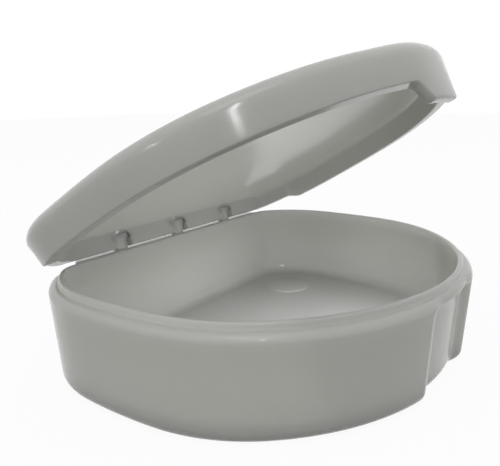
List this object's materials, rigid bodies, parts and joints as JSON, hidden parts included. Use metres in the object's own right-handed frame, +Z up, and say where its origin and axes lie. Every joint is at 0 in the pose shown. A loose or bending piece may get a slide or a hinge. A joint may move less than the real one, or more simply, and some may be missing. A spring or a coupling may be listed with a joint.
{
  "type": "mouth guard case",
  "caption": "D-shaped hinged case for a mouth guard: drafted tray with rim ledge and lip, domed lid with front latch tab, slotted snap hinge, shown partly open.",
  "frame": {"origin": "centre of the tray's flat underside, midway between the straight hinge side and the front", "axes": "+Z up out of the underside, +Y towards the straight hinge side, +X along the hinge axis"},
  "size_m": [0.0868, 0.066, 0.0567],
  "materials": {
    "tray_plastic": "soft gloss, slightly translucent",
    "lid_plastic": "soft gloss, slightly translucent"
  },
  "bodies": {
    "tray": {"base_tray": "tray_plastic"},
    "lid": {"lid": "lid_plastic"}
  },
  "joints": [
    {"name": "lid_hinge", "type": "hinge", "parent": "tray", "child": "lid", "pos_m": [0, 0.03175, 0.02125], "axis": [-1, 0, 0], "range_deg": [-29.9, 70]}
  ]
}
